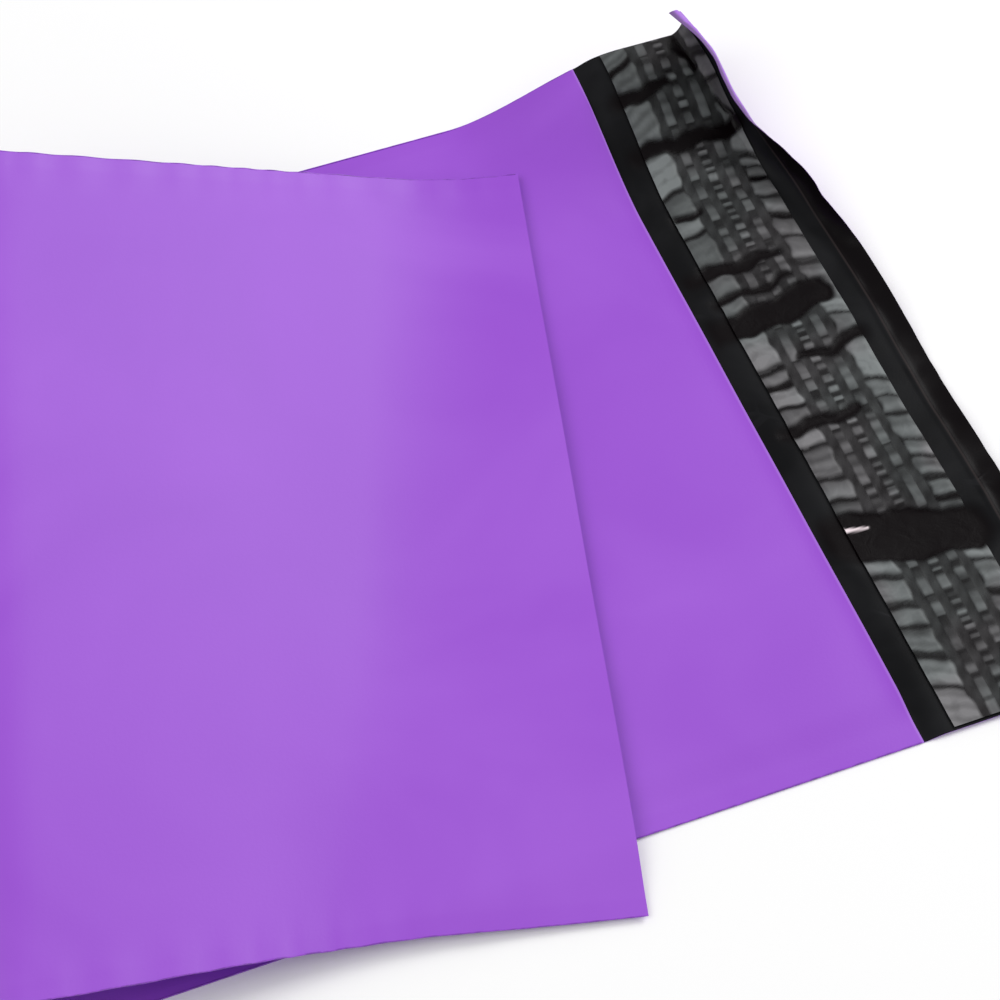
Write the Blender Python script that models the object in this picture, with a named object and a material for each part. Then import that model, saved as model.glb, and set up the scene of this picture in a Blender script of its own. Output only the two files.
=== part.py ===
"""A poly mailer bag, lying on a flat surface and folded once over itself.

The bag is one film: back panel, flap and front panel are a single sheet, folded at the bottom and
welded along both sides, so it is one solid with an open pocket. The flap carries four stripes of
hot-melt glue under a release liner.

Frame: metres, +Z up. The origin is on the resting face, below the middle of the mouth edge.
+X runs from the mouth towards the flap's free edge, +Y along the mouth.

A point of the film is given by s, the distance from the mouth edge towards the bottom of the bag
(negative on the flap), v, the place across the width, and lift, the height above the outer face of
the back panel, measured through the film.
"""

import math

import bmesh
import bpy
import numpy as np

# Driving dimensions of the bag
BAG_WIDTH = 0.200
POCKET_DEPTH = 0.350
FLAP_LENGTH = 0.046
FILM = 0.0001
SEAM_WIDTH = 0.004
BOTTOM_CREASE = 0.003

# How far the two panels stand apart inside the pocket, and over what distance they part
POCKET_GAP = 0.0006
POCKET_EASE = 0.010

# The fold that lays the bottom half over the mouth half. It is higher and steeper at the back edge.
# Its place is how far its roundest line stands from the mouth, at the middle of the fold
FOLD_PLACE = 0.1853
FOLD_SKEW = math.radians(6.7)
SIDE_SLIP = 0.0155
LOOP_HEIGHT_FRONT = 0.021
LOOP_HEIGHT_BACK = 0.042
DESCENT_FRONT = math.radians(13)
DESCENT_BACK = math.radians(20)
LIFT_EASE = 2.2
LANDING_LENGTH = 0.030
REST_CLEARANCE = 0.0005
FOLD_OVERRUN = 0.2

# Soft waves in the two halves, and the droop of the upper half past the lower one's front edge
LOWER_WAVE = 0.0006
WAVE_START = 0.0255
WAVE_LEAN = 0.6
WAVE_PITCH = 0.085
UPPER_WAVE_ACROSS = 0.00036
UPPER_WAVE_ALONG = 0.00024
UPPER_PITCH_ALONG = 0.059
LOWER_FADE = 0.25
UPPER_FADE = 0.33
OVERHANG_REACH = 0.018
GROUND_CLEARANCE = 0.0003

# The back corner of the mouth stands off the surface
CORNER_LIFT = 0.0118
CORNER_REACH_POCKET = 0.034
CORNER_REACH_FLAP = 0.0122
CORNER_REACH_ACROSS = 0.046

# The flap's lip is turned up and wavy, and rolls over more and more towards its back corner
LIP_REACH = 0.0056
LIP_TURN = math.radians(20)
LIP_PITCH = 0.031
LIP_WAVE = 0.4
CURL_TURN = math.radians(133)
CURL_REACH = 0.0195
CURL_SPAN = 0.087
CURL_SPREAD = 1.33
CURL_BEND = 0.5
CURL_PULL = 0.006
FLAP_RIPPLE = 0.0016
FLAP_RIPPLE_PITCH = 0.058
FLAP_RIPPLE_START = 0.0115

# Glue stripes and their release liner, which ends a lip's width short of the flap's free edge
LIP_WIDTH = 0.0115
LINER_WIDTH = 0.0273
LINER = 0.0001
LINER_END_INSET = 0.0006
DRY_EDGE_MOUTH_SIDE = 0.0063
DRY_EDGE_LIP_SIDE = 0.0050
GLUE_COUNT = 4
GLUE_STRIPE = 0.0025
GLUE = 0.0002
GLUE_END_INSET = 0.0016
SEAT_GAP = 0.0003
PUCKER = 0.0005
PUCKER_PITCH = 0.0085

# Mesh density
LIP_STEPS = 6
LOWER_STEPS = 7
LOOP_STEPS = 22
UPPER_STEPS = 6
WIDTH_STEPS = 16
PUCKER_STEPS = 3
TABLE_STEPS = 240
SHARP_ANGLE = math.radians(40)

PURPLE = (0.345, 0.105, 0.672, 1.0)
GLUE_GREY = (0.020, 0.024, 0.025, 1.0)
LINER_GREY = (0.110, 0.115, 0.120, 1.0)


def smooth(t):
    """A step that leaves 0 and reaches 1 without a kink."""
    t = min(max(t, 0.0), 1.0)
    return t * t * (3.0 - 2.0 * t)


def wave(place, pitch):
    return math.sin(2.0 * math.pi * place / pitch)


def integrated(turns, length):
    """Along and up positions of a path of that length whose direction follows the turns."""
    step = length / (len(turns) - 1)
    middle = (turns[1:] + turns[:-1]) / 2.0
    along = np.concatenate([[0.0], np.cumsum(np.cos(middle)) * step])
    up = np.concatenate([[0.0], np.cumsum(np.sin(middle)) * step])
    return along, up


SHARES = np.linspace(0.0, 1.0, TABLE_STEPS + 1)
LIFT_TURNS = SHARES**LIFT_EASE * (1.0 + LIFT_EASE * (1.0 - SHARES))
LINER_END = FLAP_LENGTH - LIP_WIDTH
LINER_START = LINER_END - LINER_WIDTH
PANELS = 2.0 * FILM + POCKET_GAP
LANDING_HEIGHT = 2.0 * PANELS + LOWER_WAVE + REST_CLEARANCE


class Fold:
    """The fold's section across one place p along it: bend, straight descent and landing."""

    def __init__(self, p):
        share = min(max(0.5 + p / BAG_WIDTH, -FOLD_OVERRUN), 1.0 + FOLD_OVERRUN)
        height = LOOP_HEIGHT_FRONT + (LOOP_HEIGHT_BACK - LOOP_HEIGHT_FRONT) * share
        self.slope = DESCENT_FRONT + (DESCENT_BACK - DESCENT_FRONT) * share
        self.bend_turns = (math.pi + self.slope) * LIFT_TURNS
        self.bend_along, self.bend_up = integrated(self.bend_turns, 1.0)
        self.bend = height / self.bend_up.max()
        self.landing_turns = math.pi + self.slope * (1.0 - SHARES)
        self.landing_along, self.landing_up = integrated(self.landing_turns, LANDING_LENGTH)
        left = self.bend_up[-1] * self.bend + self.landing_up[-1] - LANDING_HEIGHT
        self.descent = left / math.sin(self.slope)
        self.total = self.bend + self.descent + LANDING_LENGTH
        self.bulge = self.bend_along.max() * self.bend
        self.reach = self.bend_along[-1] * self.bend - math.cos(self.slope) * self.descent
        self.reach += self.landing_along[-1]

    @property
    def lift_off(self):
        """Where the film leaves the surface, so that every section turns back over one line."""
        return (WAY_ROUND - self.total - self.reach) / 2.0

    def at(self, q):
        """Horizontal place, height and turn of the back panel's outer face, q across the fold."""
        along = q - self.lift_off
        if along <= 0.0:
            return q, 0.0, 0.0
        share = min(along / self.bend, 1.0)
        place = self.lift_off + self.bend * np.interp(share, SHARES, self.bend_along)
        height = self.bend * np.interp(share, SHARES, self.bend_up)
        turn = np.interp(share, SHARES, self.bend_turns)
        if along <= self.bend:
            return place, height, turn
        down = min(along - self.bend, self.descent)
        place -= down * math.cos(self.slope)
        height -= down * math.sin(self.slope)
        if along <= self.bend + self.descent:
            return place, height, turn
        share = min((along - self.bend - self.descent) / LANDING_LENGTH, 1.0)
        place += np.interp(share, SHARES, self.landing_along)
        height += np.interp(share, SHARES, self.landing_up)
        turn = np.interp(share, SHARES, self.landing_turns)
        return place - max(along - self.total, 0.0), height, turn


MIDDLE = Fold(0.0)
WAY_ROUND = 2.0 * (FOLD_PLACE - MIDDLE.bulge) + MIDDLE.total + MIDDLE.reach


def corner_share(v):
    return smooth((v - BAG_WIDTH / 2.0 + CORNER_REACH_ACROSS) / CORNER_REACH_ACROSS)


def corner_rise(s, v):
    """Height of the lifted back corner of the mouth, at rest on the surface elsewhere."""
    risen = smooth((CORNER_REACH_POCKET - s) / (CORNER_REACH_POCKET + CORNER_REACH_FLAP))
    return CORNER_LIFT * corner_share(v) * risen


def lower_wave(s, v):
    """Two soft ridges in the half that lies on the surface, clear of the resting face."""
    ridge = max(wave(v + WAVE_LEAN * s, WAVE_PITCH), 0.0) ** 2
    return LOWER_WAVE * ridge * smooth((s - WAVE_START) / WAVE_PITCH)


def upper_wave(s, v):
    """Soft waves in the half that lies on top."""
    across = UPPER_WAVE_ACROSS * (1.0 + wave(v, WAVE_PITCH))
    return across + UPPER_WAVE_ALONG * (1.0 + wave(s, UPPER_PITCH_ALONG))


def body_point(s, v, lift):
    """A point of the film on the pocket side of the mouth edge."""
    q = s * math.cos(FOLD_SKEW) + v * math.sin(FOLD_SKEW)
    p = v * math.cos(FOLD_SKEW) - s * math.sin(FOLD_SKEW)
    fold = Fold(p)
    place, height, turn = fold.at(q)
    place -= lift * math.sin(turn)
    height += lift * math.cos(turn)
    way = (q - fold.lift_off) / fold.total
    p += SIDE_SLIP * smooth(way)
    x = -place * math.cos(FOLD_SKEW) + p * math.sin(FOLD_SKEW)
    y = place * math.sin(FOLD_SKEW) + p * math.cos(FOLD_SKEW)
    height += (corner_rise(s, v) + lower_wave(s, v)) * smooth(1.0 - way / LOWER_FADE)
    overhang = smooth((-BAG_WIDTH / 2.0 - y) / OVERHANG_REACH)
    droop = (LANDING_HEIGHT - PANELS - GROUND_CLEARANCE) * overhang
    landed = smooth(1.0 - (1.0 - way) / UPPER_FADE)
    height += landed * (upper_wave(s, v) * (1.0 - overhang) - droop)
    return x, y, height


def curl_share(v):
    return smooth(v / CURL_SPAN)


def curl_spread(v):
    return max(2.0 * v / BAG_WIDTH, 0.0) ** CURL_SPREAD


def rolled_share(v, lengths):
    """How far the lip has turned up, from 0 where it leaves the flat to 1 at its free edge."""
    reach = LIP_REACH + (CURL_REACH - LIP_REACH) * curl_spread(v)
    return np.clip((lengths - FLAP_LENGTH + reach) / reach, 0.0, 1.0)


def flap_turns(v, lengths):
    """Turn of the flap out of the flat, at the lengths from the mouth edge, at one place across."""
    corner_length = CORNER_REACH_POCKET + CORNER_REACH_FLAP
    share = np.clip((CORNER_REACH_POCKET + lengths) / corner_length, 0.0, 1.0)
    corner = np.arctan(CORNER_LIFT * corner_share(v) * 6.0 * share * (1.0 - share) / corner_length)
    lip = LIP_TURN * (1.0 - LIP_WAVE + LIP_WAVE * wave(v, LIP_PITCH))
    bend = 1.0 - (1.0 - CURL_BEND) * curl_share(v)
    return corner + (lip + CURL_TURN * curl_share(v)) * rolled_share(v, lengths) ** bend


def flap_point(u, v, lift):
    """A point of the flap, or of what lies on it, u from the mouth edge."""
    turns = flap_turns(v, SHARES * u)
    along, up = integrated(turns, u)
    ripple = FLAP_RIPPLE * (1.0 + wave(v, FLAP_RIPPLE_PITCH)) / 2.0
    rise = ripple * smooth((u - FLAP_RIPPLE_START) / FLAP_LENGTH) * (1.0 - curl_share(v))
    x = along[-1] - lift * math.sin(turns[-1])
    pulled = CURL_PULL * curl_share(v) * curl_spread(v) * float(rolled_share(v, u)) ** 2
    return x, v - pulled, up[-1] + lift * math.cos(turns[-1]) + rise + corner_rise(0.0, v)


def film_point(s, v, lift):
    return body_point(s, v, lift) if s > 0.0 else flap_point(-s, v, lift)


def pocket_gap(s, v):
    """How far the panels stand apart, nothing at the side seams and at the bottom crease."""
    from_seam = BAG_WIDTH / 2.0 - SEAM_WIDTH - abs(v)
    from_bottom = POCKET_DEPTH - BOTTOM_CREASE - s
    return POCKET_GAP * smooth(from_seam / POCKET_EASE) * smooth(from_bottom / POCKET_EASE)


def film_material(name, colour, roughness):
    material = bpy.data.materials.new(name)
    material.use_nodes = True
    shader = material.node_tree.nodes["Principled BSDF"]
    shader.inputs["Base Color"].default_value = colour
    shader.inputs["Roughness"].default_value = roughness
    shader.inputs["Metallic"].default_value = 0.0
    material.diffuse_color = colour
    return material


def finished(name, bm, material):
    """The mesh as an object of that name, shaded smooth except at its cut edges."""
    mesh = bpy.data.meshes.new(name)
    bmesh.ops.recalc_face_normals(bm, faces=bm.faces)
    bm.to_mesh(mesh)
    bm.free()
    mesh.shade_smooth()
    mesh.set_sharp_from_angle(angle=SHARP_ANGLE)
    mesh.materials.append(material)
    obj = bpy.data.objects.new(name, mesh)
    bpy.context.scene.collection.objects.link(obj)
    return obj


def glue_edges():
    """Distances from the mouth edge to both edges of each glue stripe."""
    free = LINER_WIDTH - DRY_EDGE_MOUTH_SIDE - DRY_EDGE_LIP_SIDE - GLUE_COUNT * GLUE_STRIPE
    pitch = GLUE_STRIPE + free / (GLUE_COUNT - 1)
    starts = [LINER_START + DRY_EDGE_MOUTH_SIDE + number * pitch for number in range(GLUE_COUNT)]
    return [(start, start + GLUE_STRIPE) for start in starts]


def flap_stations():
    """Places along the flap for the mesh, with a row at each edge that lies on it."""
    rows = [0.0, LINER_START / 2.0, LINER_START, LINER_START + DRY_EDGE_MOUTH_SIDE / 2.0]
    for edges in glue_edges():
        rows += edges
    rows += [LINER_END - DRY_EDGE_LIP_SIDE / 2.0, LINER_END]
    lip = np.linspace(LINER_END, FLAP_LENGTH, LIP_STEPS + 1)[1:]
    return rows + [float(u) for u in lip]


def length_stations():
    """Places along the pocket for the mesh, from mouth to bottom, close together in the fold."""
    half = BAG_WIDTH / 2.0
    folds = [Fold(p) for p in (-half, half)]
    swing = half * math.sin(FOLD_SKEW)
    last = POCKET_DEPTH - BOTTOM_CREASE
    loop_start = min(fold.lift_off for fold in folds) - swing
    landed = max(fold.lift_off + fold.total for fold in folds) + swing
    loop_end = min(landed, last - POCKET_EASE)
    lower = np.linspace(0.0, loop_start, LOWER_STEPS + 1)[:-1]
    loop = np.linspace(loop_start, loop_end, LOOP_STEPS + 1)[:-1]
    upper = np.linspace(loop_end, last, UPPER_STEPS)
    return [float(s) for s in (*lower, *loop, *upper, POCKET_DEPTH)]


def width_stations():
    """Places across the bag for the mesh: the edges, the seams' inner lines and steps between them."""
    inner = BAG_WIDTH / 2.0 - SEAM_WIDTH
    eased = inner - POCKET_EASE
    middle = np.linspace(-eased, eased, WIDTH_STEPS + 1)
    return [-BAG_WIDTH / 2.0, -inner, *(float(v) for v in middle), inner, BAG_WIDTH / 2.0]


def build_bag():
    """The film pouch with its flap, as one closed surface: outside, pocket and cut edges."""
    body = length_stations()
    flap = [-u for u in reversed(flap_stations()[1:])]
    across = width_stations()
    stations = flap + body
    mouth, crease, end = len(flap), len(stations) - 2, len(stations) - 1
    right = len(across) - 1
    bm = bmesh.new()
    made = {}

    def vert(layer, i, j):
        """The mesh vertex of a layer: outer back, inner back, inner front or outer front."""
        closed = i >= crease or j in (0, 1, right - 1, right)
        if layer == "inner_front" and closed:
            layer = "inner_back"
        if (layer, i, j) not in made:
            s, v = stations[i], across[j]
            gap = pocket_gap(s, v)
            lift = {
                "outer_back": 0.0,
                "inner_back": FILM,
                "inner_front": FILM + gap,
                "outer_front": 2.0 * FILM + gap,
            }[layer]
            point = film_point(s, v, lift)
            made[layer, i, j] = bm.verts.new(point)
        return made[layer, i, j]

    def sheet(layer, rows, columns, up):
        """Faces over a block of the grid, all split along the same diagonal."""
        for i in rows:
            for j in columns:
                corners = [(i, j), (i + 1, j), (i + 1, j + 1), (i, j + 1)]
                if not up:
                    corners = [corners[0], corners[3], corners[2], corners[1]]
                bm.faces.new([vert(layer, *c) for c in corners])

    everywhere = range(0, right)
    pocket_columns = range(1, right - 1)
    sheet("outer_back", range(0, end), everywhere, False)
    sheet("inner_back", range(0, mouth), everywhere, True)
    sheet("inner_back", range(mouth, crease), pocket_columns, True)
    sheet("inner_front", range(mouth, crease), pocket_columns, False)
    sheet("outer_front", range(mouth, end), everywhere, True)

    for j in everywhere:
        bm.faces.new([vert("outer_back", 0, j), vert("inner_back", 0, j),
                      vert("inner_back", 0, j + 1), vert("outer_back", 0, j + 1)])
        bm.faces.new([vert("inner_front", mouth, j), vert("outer_front", mouth, j),
                      vert("outer_front", mouth, j + 1), vert("inner_front", mouth, j + 1)])
        bm.faces.new([vert("outer_back", end, j), vert("outer_back", end, j + 1),
                      vert("outer_front", end, j + 1), vert("outer_front", end, j)])
    for j in (0, right):
        for i in range(0, mouth):
            bm.faces.new([vert("outer_back", i, j), vert("outer_back", i + 1, j),
                          vert("inner_back", i + 1, j), vert("inner_back", i, j)])
        for i in range(mouth, end):
            wall = [vert("outer_back", i, j), vert("outer_back", i + 1, j),
                    vert("outer_front", i + 1, j), vert("outer_front", i, j)]
            if i == mouth:
                wall.append(vert("inner_back", i, j))
            bm.faces.new(wall)
    return finished("mailer_film", bm, film_material("purple_film", PURPLE, 0.42))


def strip_places(end_inset, parts):
    """Places across the bag for a strip on the flap: the film's own, each step cut into that many parts."""
    end = BAG_WIDTH / 2.0 - end_inset
    marks = [-end, *(v for v in width_stations() if abs(v) < end - GLUE_END_INSET), end]
    steps = [np.linspace(marks[i], marks[i + 1], parts + 1)[:-1] for i in range(len(marks) - 1)]
    return [float(v) for step in steps for v in step] + [end]


def strip_point(u, v, lift):
    """A point that far above the film, over the flat facet between two of the film's own places."""
    marks = width_stations()
    right = min(max(int(np.searchsorted(marks, v)), 1), len(marks) - 1)
    share = (v - marks[right - 1]) / (marks[right] - marks[right - 1])
    before = np.array(flap_point(u, marks[right - 1], lift))
    after = np.array(flap_point(u, marks[right], lift))
    return before + share * (after - before)


def build_strip(name, rows, across, seat, thickness, pucker, material):
    """A strip along the flap, from its first row to its last, seated above the film."""
    ends = across[-1]
    bm = bmesh.new()

    def vert(u, v, lift):
        ridge = pucker * wave(v, 2.0 * PUCKER_PITCH) ** 2 * smooth((ends - abs(v)) / PUCKER_PITCH)
        return bm.verts.new(strip_point(u, v, lift + ridge))

    low = [[vert(u, v, seat) for v in across] for u in rows]
    high = [[vert(u, v, seat + thickness) for v in across] for u in rows]
    last_row, last_place = len(rows) - 1, len(across) - 1
    for i in range(last_row):
        for j in range(last_place):
            bm.faces.new([high[i][j], high[i + 1][j], high[i + 1][j + 1], high[i][j + 1]])
            bm.faces.new([low[i][j], low[i][j + 1], low[i + 1][j + 1], low[i + 1][j]])
        for j in (0, last_place):
            bm.faces.new([low[i][j], low[i + 1][j], high[i + 1][j], high[i][j]])
    for j in range(last_place):
        for i in (0, last_row):
            bm.faces.new([low[i][j], low[i][j + 1], high[i][j + 1], high[i][j]])
    return finished(name, bm, material)


def build_glue():
    """Parallel stripes of hot-melt glue, evenly spaced between the liner's dry edges."""
    material = film_material("hot_melt_glue", GLUE_GREY, 0.25)
    across = strip_places(GLUE_END_INSET, 1)
    for number, edges in enumerate(glue_edges()):
        build_strip(f"glue_stripe_{number + 1}", edges, across, FILM + SEAT_GAP, GLUE, 0.0, material)


def build_liner():
    """The siliconised strip that covers the glue, puckered along its length."""
    material = film_material("release_liner", LINER_GREY, 0.30)
    rows = [u for u in flap_stations() if LINER_START <= u <= LINER_END]
    across = strip_places(LINER_END_INSET, PUCKER_STEPS)
    seat = FILM + SEAT_GAP + GLUE + SEAT_GAP
    build_strip("release_liner", rows, across, seat, LINER, PUCKER, material)


def main():
    for obj in list(bpy.data.objects):
        bpy.data.objects.remove(obj, do_unlink=True)
    build_bag()
    build_glue()
    build_liner()


main()
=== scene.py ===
import math

import bmesh
import bpy
import numpy as np
from mathutils import Matrix, Vector


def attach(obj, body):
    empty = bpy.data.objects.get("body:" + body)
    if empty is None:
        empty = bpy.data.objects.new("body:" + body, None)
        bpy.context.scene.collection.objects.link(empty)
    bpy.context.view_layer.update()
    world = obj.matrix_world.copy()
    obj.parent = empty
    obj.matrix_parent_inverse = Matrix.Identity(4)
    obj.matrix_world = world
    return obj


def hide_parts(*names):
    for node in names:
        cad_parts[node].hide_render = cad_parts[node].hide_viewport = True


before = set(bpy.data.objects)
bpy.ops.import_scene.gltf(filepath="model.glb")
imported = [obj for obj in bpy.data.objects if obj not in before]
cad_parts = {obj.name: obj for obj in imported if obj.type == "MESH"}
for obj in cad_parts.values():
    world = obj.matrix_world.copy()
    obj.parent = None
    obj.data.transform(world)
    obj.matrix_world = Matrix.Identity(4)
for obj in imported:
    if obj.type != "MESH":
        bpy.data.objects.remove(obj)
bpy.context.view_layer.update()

# Sizes of the bag, in metres, as its solids have them
BAG_WIDTH = 0.200
POCKET_DEPTH = 0.350
FLAP_LENGTH = 0.046
FILM = 0.0001
SEAM_WIDTH = 0.004
BOTTOM_CREASE = 0.003
POCKET_GAP = 0.0006
POCKET_EASE = 0.010
HALF_WIDTH = BAG_WIDTH / 2.0

# The fold that lays the bottom half over the mouth half
FOLD_PLACE = 0.1853
FOLD_SKEW = math.radians(6.7)
SIDE_SLIP = 0.0155
LOOP_HEIGHT_FRONT = 0.021
LOOP_HEIGHT_BACK = 0.042
DESCENT_FRONT = math.radians(13)
DESCENT_BACK = math.radians(20)
LIFT_EASE = 2.2
LANDING_LENGTH = 0.030
REST_CLEARANCE = 0.0005
FOLD_OVERRUN = 0.2

# Soft waves in the two halves
LOWER_WAVE = 0.0006
WAVE_START = 0.0255
WAVE_LEAN = 0.6
WAVE_PITCH = 0.085
UPPER_WAVE_ACROSS = 0.00036
UPPER_WAVE_ALONG = 0.00024
UPPER_PITCH_ALONG = 0.059
LOWER_FADE = 0.25
UPPER_FADE = 0.33
OVERHANG_REACH = 0.018
GROUND_CLEARANCE = 0.0003

# The lifted back corner, the turned-up lip and the rolled corner of the flap
CORNER_LIFT = 0.0118
CORNER_REACH_POCKET = 0.034
CORNER_REACH_FLAP = 0.0122
CORNER_REACH_ACROSS = 0.046
LIP_REACH = 0.0056
LIP_TURN = math.radians(20)
LIP_PITCH = 0.031
LIP_WAVE = 0.4
CURL_TURN = math.radians(133)
CURL_REACH = 0.0195
CURL_SPAN = 0.087
CURL_SPREAD = 1.33
CURL_BEND = 0.5
CURL_PULL = 0.006
FLAP_RIPPLE = 0.0016
FLAP_RIPPLE_PITCH = 0.058
FLAP_RIPPLE_START = 0.0115

# Release liner and glue, as distances from the mouth edge
LIP_WIDTH = 0.0115
LINER_WIDTH = 0.0273
DRY_EDGE_MOUTH_SIDE = 0.0063
LINER_END = FLAP_LENGTH - LIP_WIDTH
LINER_START = LINER_END - LINER_WIDTH
LINER_END_INSET = 0.0006
LINER_FILM = 0.00006
GLUE_START = LINER_START + DRY_EDGE_MOUTH_SIDE
GLUE_PITCH = 0.0045
GLUE_STRIPE = 0.0025
GLUE_COUNT = 4
GLUE_END_INSET = 0.0016
GLUE_HEIGHT = 0.0003

TABLE_STEPS = 240
SHARES = np.linspace(0.0, 1.0, TABLE_STEPS + 1)
LIFT_TURNS = SHARES**LIFT_EASE * (1.0 + LIFT_EASE * (1.0 - SHARES))
PANELS = 2.0 * FILM + POCKET_GAP
LANDING_HEIGHT = 2.0 * PANELS + LOWER_WAVE + REST_CLEARANCE

# The photograph's view, from the fit of the mouth edge and the flap
VIEW_TARGET = Vector((-0.06077, -0.00990, 0.0))
VIEW_DISTANCE = 0.6053
VIEW_ELEVATION = math.radians(53.94)
VIEW_TURN = math.radians(20.72)
VIEW_LENS = 97.83
SENSOR = 36.0

MM = 0.001


def smooth(t):
    """A step that leaves 0 and reaches 1 without a kink."""
    t = np.clip(t, 0.0, 1.0)
    return t * t * (3.0 - 2.0 * t)


def wave(place, pitch):
    return np.sin(2.0 * np.pi * place / pitch)


def wavered(u, v, waves):
    """A sum of small waves, each with its height, its shares of the two places, and its pitch."""
    return sum(height * wave(a * u + b * v, pitch) for height, a, b, pitch in waves)


def soft_waves(seed, count, shortest, longest, lean, spread):
    """Directions, pitches and starts for a sum of long soft waves, the same at each run."""
    dice = np.random.default_rng(seed)
    turns = lean + spread * dice.uniform(-1.0, 1.0, count)
    pitches = dice.uniform(shortest, longest, count)
    return [(math.cos(t), math.sin(t), p, dice.uniform(0.0, 1.0)) for t, p in zip(turns, pitches)]


def swell(waves, s, v):
    """The sum of those waves at a place on the flat film, from -1 to 1."""
    total = sum(np.sin(2.0 * np.pi * ((s * a + v * b) / p + c)) for a, b, p, c in waves)
    return total / len(waves)


def integrated(turns, length):
    """Along and up positions of paths of that length, one a row, whose directions follow the turns."""
    step = np.broadcast_to(np.asarray(length, float) / TABLE_STEPS, (len(turns),))[:, None]
    middle = (turns[:, 1:] + turns[:, :-1]) / 2.0
    none = np.zeros((len(turns), 1))
    along = np.concatenate([none, np.cumsum(np.cos(middle), 1) * step], 1)
    up = np.concatenate([none, np.cumsum(np.sin(middle), 1) * step], 1)
    return along, up


def looked_up(table, share):
    """Each row's own table, read at its own share."""
    place = np.clip(share, 0.0, 1.0) * TABLE_STEPS
    low = np.minimum(place.astype(int), TABLE_STEPS - 1)
    row = np.arange(len(table))
    return table[row, low] + (place - low) * (table[row, low + 1] - table[row, low])


class Fold:
    """The fold's section at places p along it: bend, straight descent and landing."""

    def __init__(self, p):
        share = np.clip(0.5 + p / BAG_WIDTH, -FOLD_OVERRUN, 1.0 + FOLD_OVERRUN)
        height = LOOP_HEIGHT_FRONT + (LOOP_HEIGHT_BACK - LOOP_HEIGHT_FRONT) * share
        self.slope = DESCENT_FRONT + (DESCENT_BACK - DESCENT_FRONT) * share
        self.bend_turns = (np.pi + self.slope)[:, None] * LIFT_TURNS
        self.bend_along, self.bend_up = integrated(self.bend_turns, 1.0)
        self.bend = height / self.bend_up.max(1)
        self.landing_turns = np.pi + self.slope[:, None] * (1.0 - SHARES)
        self.landing_along, self.landing_up = integrated(self.landing_turns, LANDING_LENGTH)
        left = self.bend_up[:, -1] * self.bend + self.landing_up[:, -1] - LANDING_HEIGHT
        self.descent = left / np.sin(self.slope)
        self.total = self.bend + self.descent + LANDING_LENGTH
        self.bulge = self.bend_along.max(1) * self.bend
        self.reach = self.bend_along[:, -1] * self.bend - np.cos(self.slope) * self.descent
        self.reach += self.landing_along[:, -1]

    def lift_off(self):
        return (WAY_ROUND - self.total - self.reach) / 2.0

    def at(self, q):
        """Horizontal place, height and turn of the back panel's outer face, q across the fold."""
        lift_off = self.lift_off()
        along = q - lift_off
        share = along / self.bend
        place = lift_off + self.bend * looked_up(self.bend_along, share)
        height = self.bend * looked_up(self.bend_up, share)
        turn = looked_up(self.bend_turns, share)
        down = np.clip(along - self.bend, 0.0, self.descent)
        place -= down * np.cos(self.slope)
        height -= down * np.sin(self.slope)
        landing = (along - self.bend - self.descent) / LANDING_LENGTH
        place += looked_up(self.landing_along, landing)
        height += looked_up(self.landing_up, landing)
        turn = np.where(landing > 0.0, looked_up(self.landing_turns, landing), turn)
        place -= np.maximum(along - self.total, 0.0)
        flat = along <= 0.0
        return np.where(flat, q, place), np.where(flat, 0.0, height), np.where(flat, 0.0, turn)


MIDDLE = Fold(np.zeros(1))
WAY_ROUND = float((2.0 * (FOLD_PLACE - MIDDLE.bulge) + MIDDLE.total + MIDDLE.reach)[0])

# The film's small unevenness, beyond what the solids show
UPPER_SWELL = soft_waves(seed=4, count=5, shortest=0.045, longest=0.110, lean=0.10, spread=0.45)
LOWER_SWELL = soft_waves(seed=9, count=6, shortest=0.040, longest=0.095, lean=1.15, spread=0.70)
UPPER_SWELL_HEIGHT = 0.00045
LOWER_SWELL_HEIGHT = 0.00030
LOWER_SWELL_END = 0.115
LOWER_SWELL_EASE = 0.03
SEAM_PUCKER = 0.00014
SEAM_PUCKER_PITCH = 0.0093
SEAM_PUCKER_REACH = 0.013
SEAM_PUCKER_EASE = 0.2
SEAM_DRIFT = 0.4
SEAM_DRIFT_PITCH = 0.071
# Short pressed creases in the upper half, in millimetres: place from the mouth, place across the bag and
# half the width, at the crease's two ends
FILM_CREASES = ((267.0, 28.0, 0.7, 256.0, 24.5, 0.3), (280.0, -21.5, 0.6, 265.0, -27.0, 0.3))
FILM_CREASE_HEIGHT = 0.00016
CREASE_SOFT = 3.2
MOUTH_LIFT = 0.00035
MOUTH_LIFT_REACH = 0.0035


def corner_share(v):
    return smooth((v - HALF_WIDTH + CORNER_REACH_ACROSS) / CORNER_REACH_ACROSS)


def corner_rise(s, v):
    """Height of the lifted back corner of the mouth, at rest on the surface elsewhere."""
    risen = smooth((CORNER_REACH_POCKET - s) / (CORNER_REACH_POCKET + CORNER_REACH_FLAP))
    return CORNER_LIFT * corner_share(v) * risen


def lower_wave(s, v):
    ridge = np.maximum(wave(v + WAVE_LEAN * s, WAVE_PITCH), 0.0) ** 2
    return LOWER_WAVE * ridge * smooth((s - WAVE_START) / WAVE_PITCH)


def upper_wave(s, v):
    across = UPPER_WAVE_ACROSS * (1.0 + wave(v, WAVE_PITCH))
    along = UPPER_WAVE_ALONG * (1.0 + wave(s, UPPER_PITCH_ALONG))
    return across + along + UPPER_SWELL_HEIGHT * (1.0 + swell(UPPER_SWELL, s, v))


def pressed_creases(s, v):
    return FILM_CREASE_HEIGHT * sum(within(s / MM, v / MM, crease, CREASE_SOFT) for crease in FILM_CREASES)


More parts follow.
